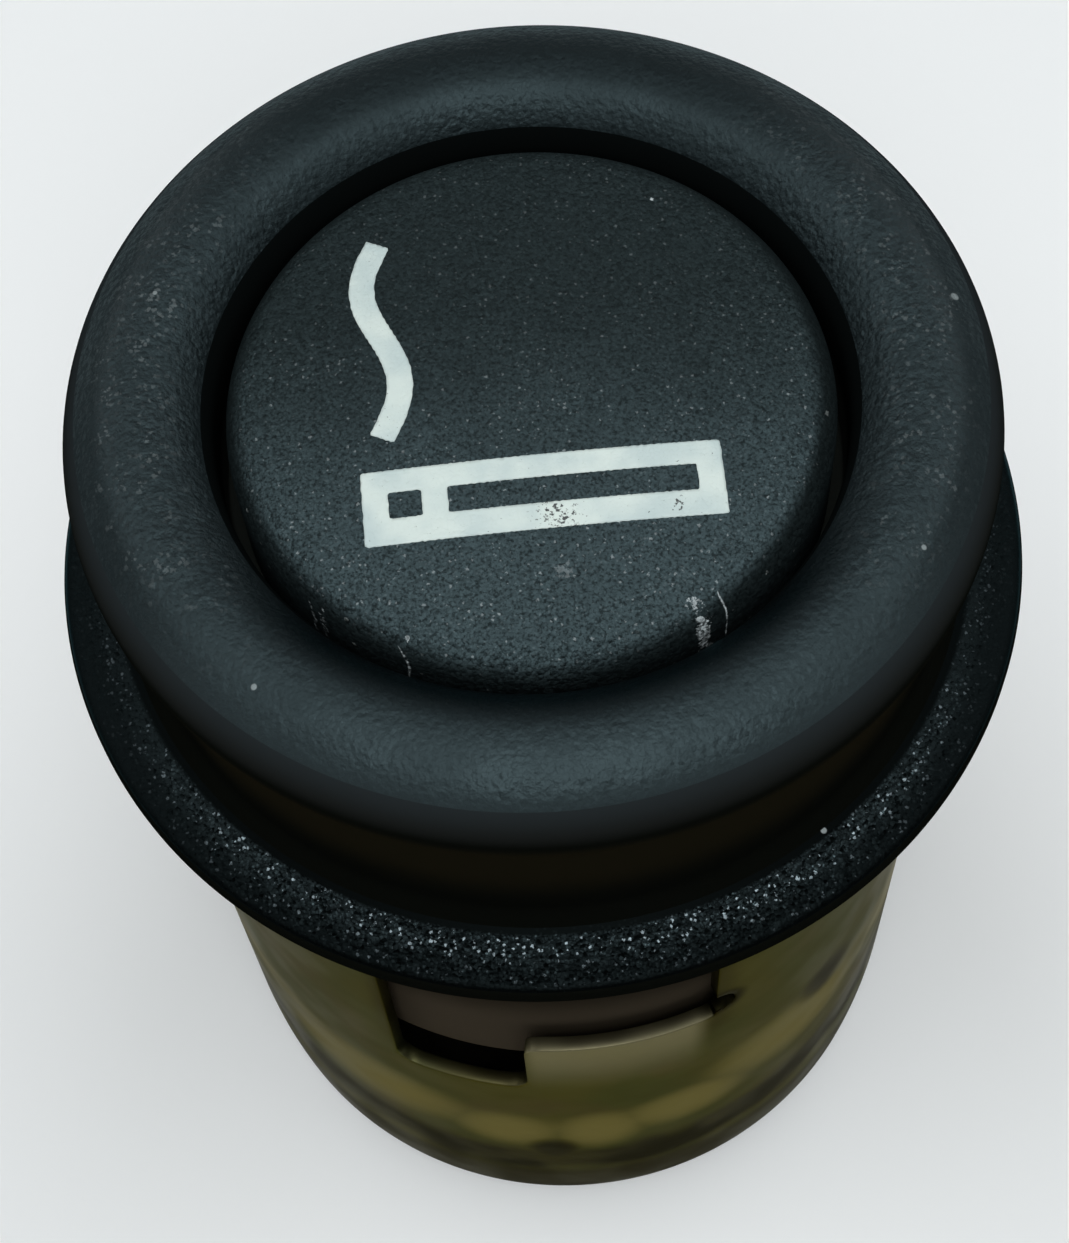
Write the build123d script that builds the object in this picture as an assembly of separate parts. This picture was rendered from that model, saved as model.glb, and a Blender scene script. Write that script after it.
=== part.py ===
from build123d import *
import os
from math import atan2, cos, degrees, radians, sin, sqrt

# A car cigarette lighter plug. The sleeve stays in the dashboard socket. The knob, the stud
# and the heating cup on its end are pressed down through the sleeve against a coil spring.
# Millimetres, +Z up, Z = 0 at the sleeve's lower edge, the sign on the cap reads from -Y.

# Motion, and the gap left by a press fit
press_travel = 4.5
stop_gap = 0.05
press_fit = 0.02

# Sleeve, a tube rolled from sheet with a slight lead-in at its lower end
sleeve_r = 10.4
sleeve_wall = 0.4
sleeve_length = 19.6
lead_in_height = 2.8
lead_in_drop = 0.12
sleeve_edge_round = 0.12

# Notches in the sleeve's upper edge, each with a spring tab on one half of its floor
notch_count = 3
notch_start_angle = -119.0
notch_angle = 49.0
notch_floor_z = 11.65
notch_corner_round = 0.6
tab_angle = 28.5
tab_height = 3.15
tab_corner_round = 0.5
relief_rise = 1.25
relief_r = 0.55

# Guide plate, a top hat pressed into the sleeve, with a drawn collar round the stud
plate_wall = 0.5
plate_skirt_height = 2.4
plate_hat_height = 2.4
collar_height = 1.2
collar_clearance = 0.1
hat_clearance = 0.4
plate_bend_round = 0.3

# Heating cup and what hangs on the stud's lower end, from the mouth upwards
mouth_recess = 4.8
cup_depth = 3.0
cup_wall = 0.4
cup_clearance = 0.3
cup_lip = 0.5
cup_corner_round = 0.8
coil_setback = 0.2
coil_height = 1.4
coil_ribbon = 0.35
coil_turns = 4
disc_thickness = 0.9
disc_clearance = 0.5
rivet_washer_r = 2.9
rivet_washer_thickness = 0.4
bush_r = 4.5
bush_thickness = 0.8
bush_nose_wall = 1.0
mica_r = 5.5
mica_thickness = 0.3
guard_clearance = 0.4
guard_thickness = 0.4
guard_rim = 0.8
guard_bend_round = 0.35

# Stud, nut and lock washer
thread_r = 2.0
stud_shoulder = 0.5
rivet_r = 1.3
rivet_head = 0.7
rivet_head_height = 1.0
rivet_head_round = 0.8
stud_fit = 0.03
thread_end = 0.4
stud_tip_round = 0.3
nut_flats = 7.0
nut_height = 2.2
lock_thickness = 0.6
lock_split = 0.6

# Knob, one moulding: finger ring, neck, flange and a shank that slides in the sleeve
ring_tube_r = 1.7
ring_rise = 6.3
finger_groove = 0.62
neck_wall = 1.9
web_thickness = 1.6
flange_overhang = 1.4
flange_width = 1.85
flange_edge = 0.55
flange_slope = 0.35
flange_lip = 0.4
flange_lip_clearance = 0.3
flange_low_round = 0.2
flange_top_round = 0.25
cove_round = 0.45
ring_neck_round = 0.5
shank_clearance = 0.3
shank_wall = 1.2
shank_end_gap = 0.4
shank_step = 1.0
shank_end_round = 0.3
recess_depth = 2.2

# Symbol cap, a shallow dome pressed into the knob over the nut
cap_gap = 0.3
cap_rim_rise = 0.95
cap_dome = 0.35
cap_edge_round = 0.85
cap_wall = 0.9
cap_skirt = 1.0
cap_stud_clearance = 0.4
spigot_wall = 0.8
spigot_nut_clearance = 0.35
spigot_floor_gap = 0.3

# Return spring and the seat under the knob's web
seat_thickness = 0.5
seat_clearance = 0.4
seat_rim = 0.8
seat_bend_round = 0.3
wire_r = 0.45
spring_turns = 5
spring_clearance = 0.4

# Radii, from the sleeve inwards
sleeve_inner_r = sleeve_r - sleeve_wall
shank_r = sleeve_inner_r - shank_clearance
shank_inner_r = shank_r - shank_wall
skirt_r = sleeve_inner_r - press_fit
hat_r = shank_inner_r - hat_clearance
hat_inner_r = hat_r - plate_wall
guard_r = hat_inner_r - guard_clearance
cup_r = hat_inner_r - cup_clearance
cup_inner_r = cup_r - cup_wall
shaft_r = thread_r + stud_shoulder
collar_inner_r = shaft_r + collar_clearance
rivet_hole_r = rivet_r + stud_fit
rivet_head_r = rivet_r + rivet_head
bush_nose_r = rivet_hole_r + bush_nose_wall
flange_r = sleeve_r + flange_overhang
flange_lip_r = sleeve_r + flange_lip_clearance
neck_r = flange_r - flange_width
ring_r = neck_r + finger_groove
ring_mid_r = ring_r - ring_tube_r
recess_r = ring_mid_r - ring_tube_r
bore_r = neck_r - neck_wall
cap_r = recess_r - cap_gap
nut_corner_r = nut_flats / sqrt(3)
spigot_inner_r = nut_corner_r + spigot_nut_clearance
pocket_r = spigot_inner_r + spigot_wall
seat_r = bore_r - seat_clearance
spring_r = seat_r - seat_thickness - spring_clearance - wire_r

# Heights of the heater, from the mouth up to the guide plate
cup_floor_z = mouth_recess + cup_depth
cup_top_z = cup_floor_z + cup_wall
bush_top_z = cup_top_z + bush_thickness
mica_top_z = bush_top_z + mica_thickness
guard_top_z = mica_top_z + guard_thickness
hat_top_z = guard_top_z + stop_gap + plate_wall
plate_flange_z = hat_top_z - plate_hat_height
disc_low_z = cup_floor_z - disc_thickness
rivet_head_top_z = disc_low_z - rivet_washer_thickness
coil_low_z = mouth_recess + coil_setback

# Heights of the knob, from the sleeve's upper edge up to the cap
knob_stop_z = sleeve_length + press_travel + stop_gap
flange_low_z = knob_stop_z - flange_lip
flange_top_z = flange_low_z + flange_edge + flange_slope
ring_z = flange_low_z + ring_rise
shank_end_z = plate_flange_z + press_travel + shank_end_gap
recess_floor_z = ring_z - recess_depth
cap_rim_z = ring_z + cap_rim_rise
cap_top_z = cap_rim_z + cap_dome
cap_under_z = cap_rim_z - cap_wall
stud_top_z = cap_under_z - cap_stud_clearance
nut_top_z = stud_top_z - thread_end
nut_low_z = nut_top_z - nut_height
pocket_floor_z = nut_low_z - lock_thickness
web_low_z = pocket_floor_z - web_thickness
seat_low_z = web_low_z - seat_thickness


def turn(outline, rounds=()):
    """Solid of revolution about Z of a flat outline in (radius, height), with some corners rounded."""
    for r, z, radius in rounds:
        corner = outline.vertices().sort_by_distance((r, z, 0))[0]
        outline = fillet(corner, radius)
    return revolve(Plane.XZ * outline, Axis.Z)


def polygon(*corners):
    """Flat closed outline through (radius, height) corners."""
    return make_face(Polyline(*corners, close=True))


def washer(outer_r, inner_r, low_z, high_z):
    """Flat ring between two heights."""
    return turn(polygon((inner_r, low_z), (outer_r, low_z), (outer_r, high_z), (inner_r, high_z)))


def at_angle(radius, angle):
    """Point on a circle about Z."""
    return radius * cos(radians(angle)), radius * sin(radians(angle))


def curved_block(inner_r, outer_r, start_angle, end_angle, low_z, high_z):
    """Block bounded by two radii, two angles and two heights."""
    span = end_angle - start_angle
    outer = CenterArc((0, 0), outer_r, start_angle, span)
    inner = CenterArc((0, 0), inner_r, start_angle, span)
    outline = make_face([outer, inner, Line(inner @ 0, outer @ 0), Line(inner @ 1, outer @ 1)])
    return Pos(0, 0, low_z) * extrude(outline, high_z - low_z)


def make_notch():
    """Cutter for one notch, open at the top. It leaves the tab standing and bites a relief above it."""
    margin = sleeve_wall
    near_r = sleeve_inner_r - margin
    far_r = sleeve_r + margin
    end_angle = notch_start_angle + notch_angle
    tab_start_angle = end_angle - tab_angle
    tab_top_z = notch_floor_z + tab_height
    opening = curved_block(near_r, far_r, notch_start_angle, end_angle, tab_top_z, sleeve_length + margin)
    slot = curved_block(near_r, far_r, notch_start_angle, tab_start_angle, notch_floor_z, sleeve_length + margin)
    foot = slot.edges().filter_by(GeomType.LINE).group_by(Axis.Z)[0]
    slot = fillet(foot, notch_corner_round)
    relief = Pos(0, 0, tab_top_z + relief_rise) * Rot(0, 0, end_angle) * Rot(0, 90, 0) * Cylinder(
        relief_r, far_r, align=(Align.CENTER, Align.CENTER, Align.MIN)
    )
    cutter = opening + slot
    tab_corner = (*at_angle(sleeve_r, tab_start_angle), tab_top_z)
    crown = cutter.edges().filter_by(GeomType.LINE).sort_by_distance(tab_corner)[0]
    return fillet(crown, tab_corner_round) + relief


def make_sleeve():
    low_r = sleeve_r - lead_in_drop
    outer = ThreePointArc(
        (sleeve_r, lead_in_height), (sleeve_r - lead_in_drop / 4, lead_in_height / 2), (low_r, 0)
    )
    inner = ThreePointArc(
        (sleeve_inner_r, lead_in_height),
        (sleeve_inner_r - lead_in_drop / 4, lead_in_height / 2),
        (low_r - sleeve_wall, 0),
    )
    wall = make_face([
        outer,
        Line((low_r, 0), (low_r - sleeve_wall, 0)),
        inner,
        Polyline(
            (sleeve_inner_r, lead_in_height), (sleeve_inner_r, sleeve_length),
            (sleeve_r, sleeve_length), (sleeve_r, lead_in_height),
        ),
    ])
    tube = turn(wall, [
        (low_r, 0, sleeve_edge_round), (low_r - sleeve_wall, 0, sleeve_edge_round),
        (sleeve_r, sleeve_length, sleeve_edge_round),
        (sleeve_inner_r, sleeve_length, sleeve_edge_round),
    ])
    notch = make_notch()
    for index in range(notch_count):
        tube = tube - Rot(0, 0, 360 / notch_count * index) * notch
    return tube


def make_guide_plate():
    collar_r = collar_inner_r + plate_wall
    hat_low_z = hat_top_z - plate_wall
    flange_under_z = plate_flange_z - plate_wall
    skirt_low_z = plate_flange_z - plate_skirt_height
    outline = polygon(
        (skirt_r - plate_wall, skirt_low_z), (skirt_r, skirt_low_z),
        (skirt_r, plate_flange_z), (hat_r, plate_flange_z),
        (hat_r, hat_top_z), (collar_r, hat_top_z),
        (collar_r, hat_top_z + collar_height), (collar_inner_r, hat_top_z + collar_height),
        (collar_inner_r, hat_low_z), (hat_inner_r, hat_low_z),
        (hat_inner_r, flange_under_z), (skirt_r - plate_wall, flange_under_z),
    )
    bends = [(hat_r, hat_top_z, plate_bend_round), (skirt_r, plate_flange_z, plate_bend_round)]
    return turn(outline, bends)


def make_heating_cup():
    hole_r = bush_nose_r + stud_fit
    lip_r = cup_r + cup_lip
    lip_top_z = mouth_recess + cup_wall
    outline = polygon(
        (hole_r, cup_floor_z), (cup_inner_r, cup_floor_z), (cup_inner_r, mouth_recess),
        (lip_r, mouth_recess), (lip_r, lip_top_z), (cup_r, lip_top_z),
        (cup_r, cup_top_z), (hole_r, cup_top_z),
    )
    return turn(outline, [(cup_r, cup_top_z, cup_corner_round)])


def make_heating_coil():
    """Flat ribbon wound as half turns about two centres, from the rivet head out to the cup's wall."""
    start_r = rivet_head_r + press_fit + coil_ribbon / 2
    end_r = cup_inner_r - press_fit - coil_ribbon / 2
    halves = 2 * coil_turns
    step = (end_r - start_r) / halves
    outer, inner = [], []
    for index in range(halves):
        side = -1 if index % 2 == 0 else 1
        radius = start_r + step / 2 + index * step
        start_angle = 0 if index % 2 == 0 else 180
        centre = (side * step / 2, 0)
        outer.append(CenterArc(centre, radius + coil_ribbon / 2, start_angle, 180))
        inner.append(CenterArc(centre, radius - coil_ribbon / 2, start_angle, 180))
    ends = [Line(inner[0] @ 0, outer[0] @ 0), Line(inner[-1] @ 1, outer[-1] @ 1)]
    ribbon = make_face(outer + inner + ends)
    return Pos(0, 0, coil_low_z) * extrude(ribbon, coil_height)


def make_ceramic_bush():
    return turn(polygon(
        (rivet_hole_r, cup_floor_z), (bush_nose_r, cup_floor_z), (bush_nose_r, cup_top_z),
        (bush_r, cup_top_z), (bush_r, bush_top_z), (rivet_hole_r, bush_top_z),
    ))


def make_ash_guard():
    rim_low_z = guard_top_z - guard_thickness - guard_rim
    outline = polygon(
        (rivet_hole_r, mica_top_z), (guard_r - guard_thickness, mica_top_z),
        (guard_r - guard_thickness, rim_low_z), (guard_r, rim_low_z),
        (guard_r, guard_top_z), (rivet_hole_r, guard_top_z),
    )
    return turn(outline, [(guard_r, guard_top_z, guard_bend_round)])


def make_stud():
    head_low_z = rivet_head_top_z - rivet_head_height
    outline = polygon(
        (0, head_low_z), (rivet_head_r, head_low_z), (rivet_head_r, rivet_head_top_z),
        (rivet_r, rivet_head_top_z), (rivet_r, guard_top_z), (shaft_r, guard_top_z),
        (shaft_r, seat_low_z), (thread_r, seat_low_z), (thread_r, stud_top_z), (0, stud_top_z),
    )
    return turn(outline, [
        (rivet_head_r, head_low_z, rivet_head_round),
        (thread_r, stud_top_z, stud_tip_round),
    ])


def make_knob_nut():
    prism = extrude(RegularPolygon(nut_corner_r, 6), nut_height)
    bevel = nut_corner_r - nut_flats / 2
    limits = turn(polygon(
        (0, 0), (nut_flats / 2, 0), (nut_corner_r, bevel / 2),
        (nut_corner_r, nut_height - bevel / 2), (nut_flats / 2, nut_height), (0, nut_height),
    ))
    hole = Cylinder(thread_r + stud_fit, nut_height, align=(Align.CENTER, Align.CENTER, Align.MIN))
    return Pos(0, 0, nut_low_z) * ((prism & limits) - hole)


def make_lock_washer():
    ring = washer(nut_flats / 2, thread_r + stud_fit, pocket_floor_z, nut_low_z)
    split = Pos(nut_flats / 2, 0, pocket_floor_z) * Rot(30, 0, 0) * Box(
        nut_flats, lock_split, 4 * lock_thickness, align=(Align.CENTER, Align.CENTER, Align.CENTER)
    )
    return ring - split


def make_spring_seat():
    hole_r = thread_r + stud_fit
    rim_low_z = seat_low_z - seat_rim
    outline = polygon(
        (hole_r, seat_low_z), (seat_r - seat_thickness, seat_low_z),
        (seat_r - seat_thickness, rim_low_z), (seat_r, rim_low_z),
        (seat_r, web_low_z), (hole_r, web_low_z),
    )
    return turn(outline, [(seat_r, web_low_z, seat_bend_round)])


def make_return_spring():
    """Round wire on a helix, its ends ground flat on the guide plate and on the seat."""
    length = seat_low_z - hat_top_z
    pitch = (length - wire_r) / spring_turns
    path = Pos(0, 0, hat_top_z - wire_r / 2) * Helix(pitch, length + wire_r, spring_r)
    section = Plane(origin=path @ 0, z_dir=path % 0) * Circle(wire_r)
    wire = sweep(section, path)
    between = Pos(0, 0, hat_top_z) * Cylinder(
        spring_r + 2 * wire_r, length, align=(Align.CENTER, Align.CENTER, Align.MIN)
    )
    return wire & between


def make_knob():
    neck_top_z = ring_z - sqrt(ring_tube_r**2 - (ring_mid_r - neck_r) ** 2)
    neck_angle = degrees(atan2(neck_top_z - ring_z, neck_r - ring_mid_r))
    ring = CenterArc((ring_mid_r, ring_z), ring_tube_r, neck_angle, 180 - neck_angle)
    stud_hole_r = thread_r + stud_fit
    step_z = knob_stop_z - shank_step
    body = Polyline(
        ring @ 1, (recess_r, recess_floor_z), (pocket_r, recess_floor_z),
        (pocket_r, pocket_floor_z), (stud_hole_r, pocket_floor_z), (stud_hole_r, web_low_z),
        (bore_r, web_low_z), (bore_r, step_z), (shank_inner_r, step_z),
        (shank_inner_r, shank_end_z), (shank_r, shank_end_z), (shank_r, knob_stop_z),
        (flange_lip_r, knob_stop_z), (flange_lip_r, flange_low_z), (flange_r, flange_low_z),
        (flange_r, flange_low_z + flange_edge), (neck_r, flange_top_z), ring @ 0,
    )
    return turn(make_face([ring, body]), [
        (flange_r, flange_low_z, flange_low_round),
        (flange_r, flange_low_z + flange_edge, flange_top_round),
        (neck_r, flange_top_z, cove_round),
        (neck_r, neck_top_z, ring_neck_round),
        (shank_r, shank_end_z, shank_end_round),
        (shank_inner_r, shank_end_z, shank_end_round),
    ])


def make_symbol_cap():
    skirt_inner_r = cap_r - cap_skirt
    spigot_r = pocket_r - press_fit
    spigot_end_z = pocket_floor_z + spigot_floor_gap
    dome = ThreePointArc((0, cap_top_z), (cap_r / 2, cap_top_z - cap_dome / 4), (cap_r, cap_rim_z))
    body = Polyline(
        (cap_r, cap_rim_z), (cap_r, recess_floor_z), (skirt_inner_r, recess_floor_z),
        (skirt_inner_r, cap_under_z), (spigot_r, cap_under_z), (spigot_r, spigot_end_z),
        (spigot_inner_r, spigot_end_z), (spigot_inner_r, cap_under_z), (0, cap_under_z),
        (0, cap_top_z),
    )
    return turn(make_face([dome, body]), [(cap_r, cap_rim_z, cap_edge_round)])


nodes = {
    "sleeve": make_sleeve(),
    "guide_plate": make_guide_plate(),
    "return_spring": make_return_spring(),
    "knob": make_knob(),
    "symbol_cap": make_symbol_cap(),
    "stud": make_stud(),
    "knob_nut": make_knob_nut(),
    "lock_washer": make_lock_washer(),
    "spring_seat": make_spring_seat(),
    "ash_guard": make_ash_guard(),
    "mica_washer": washer(mica_r, rivet_hole_r, bush_top_z, mica_top_z),
    "ceramic_bush": make_ceramic_bush(),
    "heating_cup": make_heating_cup(),
    "ceramic_disc": washer(cup_inner_r - disc_clearance, rivet_hole_r, disc_low_z, cup_floor_z),
    "rivet_washer": washer(rivet_washer_r, rivet_hole_r, rivet_head_top_z, disc_low_z),
    "heating_coil": make_heating_coil(),
}

os.makedirs("parts", exist_ok=True)
for name, solid in nodes.items():
    export_step(solid, f"parts/{name}.step")
    print(f"{name}: {solid.volume:.1f} mm3")
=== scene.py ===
import math

import bpy
import numpy as np
from mathutils import Matrix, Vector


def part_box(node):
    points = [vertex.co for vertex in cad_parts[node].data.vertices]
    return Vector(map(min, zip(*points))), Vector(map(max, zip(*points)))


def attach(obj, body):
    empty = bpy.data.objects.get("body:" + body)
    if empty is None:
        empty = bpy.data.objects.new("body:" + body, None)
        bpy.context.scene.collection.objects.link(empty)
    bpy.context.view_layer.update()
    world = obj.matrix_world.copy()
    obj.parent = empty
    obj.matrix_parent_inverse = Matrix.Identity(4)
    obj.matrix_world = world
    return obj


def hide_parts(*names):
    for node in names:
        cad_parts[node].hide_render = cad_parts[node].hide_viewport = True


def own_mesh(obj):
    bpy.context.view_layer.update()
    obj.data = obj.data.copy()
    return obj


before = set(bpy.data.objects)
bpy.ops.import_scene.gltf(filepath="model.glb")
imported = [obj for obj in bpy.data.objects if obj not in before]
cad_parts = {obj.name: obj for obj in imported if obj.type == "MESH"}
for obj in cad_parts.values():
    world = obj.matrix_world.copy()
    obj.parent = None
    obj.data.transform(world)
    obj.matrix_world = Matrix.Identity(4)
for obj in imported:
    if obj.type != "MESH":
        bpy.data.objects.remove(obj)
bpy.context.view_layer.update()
mm = 0.001  # sizes below are millimetres, Blender works in metres
print("frame loaded:", len(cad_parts), "nodes")


def nodeBox(node):
    low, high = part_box(node)
    return np.array(low) / mm, np.array(high) / mm


# Mesh tools


def addPiece(name, points, faces, material):
    mesh = bpy.data.meshes.new(name)
    mesh.from_pydata((points * mm).tolist(), [], faces)
    mesh.polygons.foreach_set("use_smooth", np.ones(len(mesh.polygons), bool))
    mesh.materials.append(material)
    piece = bpy.data.objects.new(name, mesh)
    bpy.context.scene.collection.objects.link(piece)
    return piece


def gridPiece(name, grid, material, poles=None, loop=False):
    # grid[i, j]: j runs round a closed ring, rows i join in order, and the last row
    # joins the first where loop is set; two poles close the ends of an open run
    rows, columns = grid.shape[:2]
    i = np.arange(rows if loop else rows - 1)[:, None]
    j = np.arange(columns)[None, :]
    nextI, nextJ = (i + 1) % rows, (j + 1) % columns
    corners = [i * columns + j, nextI * columns + j, nextI * columns + nextJ, i * columns + nextJ]
    faces = np.stack(np.broadcast_arrays(*corners), -1).reshape(-1, 4).tolist()
    points = grid.reshape(-1, 3)
    if poles is not None:
        ring, after = np.arange(columns), (np.arange(columns) + 1) % columns
        first, last = len(points), (rows - 1) * columns
        faces += np.stack([np.full(columns, first), ring, after], -1).tolist()
        faces += np.stack([np.full(columns, first + 1), last + after, last + ring], -1).tolist()
        points = np.vstack([points, poles])
    return addPiece(name, points, faces, material)


def arcPoints(centre, radius, start, end, spacing):
    # points about one spacing apart on a circle, from the start angle to the end angle in degrees
    count = max(5, int(abs(math.radians(end - start)) * radius / spacing) + 2)
    a = np.radians(np.linspace(start, end, count))
    return np.stack([centre[0] + radius * np.cos(a), centre[1] + radius * np.sin(a)], -1)


def roundedCorner(before, corner, after, radius, spacing):
    # the arc of that radius that touches the two straight runs meeting at the corner
    u, v = before - corner, after - corner
    u, v = u / np.linalg.norm(u), v / np.linalg.norm(v)
    half = math.acos(np.clip(u @ v, -1, 1)) / 2
    middle = (u + v) / np.linalg.norm(u + v)
    centre = corner + middle * radius / math.sin(half)
    reach = radius / math.tan(half)
    start, end = corner + u * reach - centre, corner + v * reach - centre
    first = math.degrees(math.atan2(start[1], start[0]))
    swing = (math.degrees(math.atan2(end[1], end[0])) - first + 180) % 360 - 180
    return arcPoints(centre, radius, first, first + swing, spacing)


def roundedPath(corners, spacing):
    # straight runs through (radius, height, rounding) corners; the two ends stay as they are
    places = np.array([c[:2] for c in corners], float)
    parts = [places[:1]]
    for k in range(1, len(corners) - 1):
        parts.append(roundedCorner(places[k - 1], places[k], places[k + 1], corners[k][2], spacing))
    parts.append(places[-1:])
    return np.vstack(parts)


def filledPath(path, longest):
    # extra points on straight runs, so that no run is longer than the longest
    run = np.linalg.norm(np.diff(path, axis=0), axis=1)
    count = np.maximum(1, np.ceil(run / longest)).astype(int)
    start = np.repeat(np.arange(len(run)), count)
    share = (np.arange(count.sum()) - np.repeat(np.cumsum(count) - count, count)) / count[start]
    filled = path[start] + (path[start + 1] - path[start]) * share[:, None]
    return np.vstack([filled, path[-1:]])


def turnedGrid(outline, segments):
    # an outline carried round Z: x = r cos a, y = r sin a, z as it is
    a = np.linspace(0, 2 * np.pi, segments, endpoint=False)
    r, z = outline[:, :1], outline[:, 1:]
    return np.stack([r * np.cos(a), r * np.sin(a), np.broadcast_to(z, (len(outline), segments))], -1)


def boxDistance(x, y, left, right, low, high, corner):
    # distance to a rectangle with rounded corners, below zero inside it
    dx = np.abs(x - (left + right) / 2) - (right - left) / 2 + corner
    dy = np.abs(y - (low + high) / 2) - (high - low) / 2 + corner
    outside = np.hypot(np.maximum(dx, 0), np.maximum(dy, 0))
    return outside + np.minimum(np.maximum(dx, dy), 0) - corner


def cutSheet(name, u, v, field, place, material, wrap=None):
    # one face for each grid cell whose middle has field above zero; points on the cut slide
    # along the field's slope to its zero line, then place(u, v) bends the flat sheet into shape
    columns, rows = len(u), len(v)
    nextU = np.append(u[1:], u[0] + wrap) if wrap else u[1:]
    i = np.arange(len(nextU))[:, None]
    j = np.arange(rows - 1)[None, :]
    nextI = (i + 1) % columns
    corners = [i * rows + j, nextI * rows + j, nextI * rows + j + 1, i * rows + j + 1]
    cells = np.stack(np.broadcast_arrays(*corners), -1)
    middleU = ((u[: len(nextU)] + nextU) / 2)[:, None]
    kept = cells[field(middleU, ((v[1:] + v[:-1]) / 2)[None, :]) > 0]
    around = np.bincount(kept.ravel(), minlength=columns * rows)
    onCut = (around > 0) & (around < np.bincount(cells.ravel(), minlength=columns * rows))
    flatU, flatV = (g.ravel().copy() for g in np.meshgrid(u, v, indexing="ij"))
    cutU, cutV, h = flatU[onCut], flatV[onCut], 1e-3
    for _ in range(4):
        slopeU = (field(cutU + h, cutV) - field(cutU - h, cutV)) / (2 * h)
        slopeV = (field(cutU, cutV + h) - field(cutU, cutV - h)) / (2 * h)
        step = field(cutU, cutV) / np.maximum(slopeU**2 + slopeV**2, 0.3)
        cutU, cutV = cutU - step * slopeU, cutV - step * slopeV
    flatU[onCut], flatV[onCut] = cutU, cutV
    used = np.unique(kept)
    faces = np.searchsorted(used, kept).tolist()
    return addPiece(name, place(flatU[used], flatV[used]), faces, material)


def addWall(piece, wall, edge):
    solid = piece.modifiers.new("wall", "SOLIDIFY")
    solid.thickness, solid.offset = wall * mm, -1
    bevel = piece.modifiers.new("edge", "BEVEL")
    bevel.width, bevel.segments, bevel.angle_limit = edge * mm, 2, math.radians(50)
    piece.modifiers.new("shading", "WEIGHTED_NORMAL")


# Shader tools


def treeOf(*values):
    # the node tree of the first value that comes out of a node
    return next(v.id_data for v in values if isinstance(v, bpy.types.NodeSocket))


def feed(node, sockets):
    # links what comes out of another node, and sets what is a plain value
    for key, value in sockets.items():
        if isinstance(value, bpy.types.NodeSocket):
            node.id_data.links.new(value, node.inputs[key])
        else:
            node.inputs[key].default_value = value


def put(tree, kind, sockets=None, **settings):
    node = tree.nodes.new(kind)
    for key, value in settings.items():
        setattr(node, key, value)
    feed(node, sockets or {})
    return node


def calc(operation, a, b=0.0):
    return put(treeOf(a, b), "ShaderNodeMath", {0: a, 1: b}, operation=operation).outputs[0]


def times(a, b, *more):
    product = calc("MULTIPLY", a, b)
    return times(product, *more) if more else product


def plus(a, b):
    return calc("ADD", a, b)


def minus(a, b):
    return calc("SUBTRACT", a, b)


def larger(a, b):
    return calc("MAXIMUM", a, b)


def vectorCalc(operation, a, b=(0, 0, 0)):
    # a vector, or a number for a length, a distance or a dot product
    node = put(treeOf(a, b), "ShaderNodeVectorMath", {0: a, 1: b}, operation=operation)
    return node.outputs["Value" if operation in ("LENGTH", "DISTANCE", "DOT_PRODUCT") else "Vector"]


def ramp(value, low, high, start=0.0, end=1.0):
    sockets = {"Value": value, "From Min": low, "From Max": high, "To Min": start, "To Max": end}
    return put(value.id_data, "ShaderNodeMapRange", sockets, interpolation_type="SMOOTHSTEP").outputs[0]


def band(value, low, high, soft):
    # 1 between low and high, fading over soft on both sides
    return times(ramp(value, low - soft, low + soft), ramp(value, high + soft, high - soft))


def mixColour(share, first, second):
    return put(share.id_data, "ShaderNodeMix", {0: share, 6: first, 7: second}, data_type="RGBA").outputs[2]


def mixValue(share, first, second):
    return put(share.id_data, "ShaderNodeMix", {0: share, 2: first, 3: second}, data_type="FLOAT").outputs[0]


def noise(vector, size, detail=2.0, roughness=0.5):
    sockets = {"Vector": vector, "Scale": 1 / size, "Detail": detail, "Roughness": roughness}
    return put(vector.id_data, "ShaderNodeTexNoise", sockets).outputs[0]


def rgb(red, green, blue):
    return (red, green, blue, 1.0)


def newGroup(name, inputs, outputs):
    tree = bpy.data.node_groups.new(name, "ShaderNodeTree")
    for label, value in inputs.items():
        kind = "NodeSocketVector" if value is None else "NodeSocketFloat"
        socket = tree.interface.new_socket(label, in_out="INPUT", socket_type=kind)
        if value is not None:
            socket.default_value = value
    for label in outputs:
        tree.interface.new_socket(label, in_out="OUTPUT", socket_type="NodeSocketFloat")
    return tree, put(tree, "NodeGroupInput").outputs, put(tree, "NodeGroupOutput")


def useGroup(group, sockets):
    return put(sockets["Vector"].id_data, "ShaderNodeGroup", sockets, node_tree=group).outputs


def makeRoundPlace():
    # angle in degrees, distance from Z and height of a point, both in millimetres
    tree, given, result = newGroup("roundPlace", {"Vector": None}, ["Angle", "Radius", "Height"])
    part = put(tree, "ShaderNodeSeparateXYZ", {0: given["Vector"]}).outputs
    angle = calc("DEGREES", calc("ARCTAN2", part["Y"], part["X"]))
    flat = put(tree, "ShaderNodeCombineXYZ", {"X": part["X"], "Y": part["Y"]}).outputs[0]
    feed(result, {"Angle": angle, "Radius": vectorCalc("LENGTH", flat), "Height": part["Z"]})
    return tree


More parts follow.
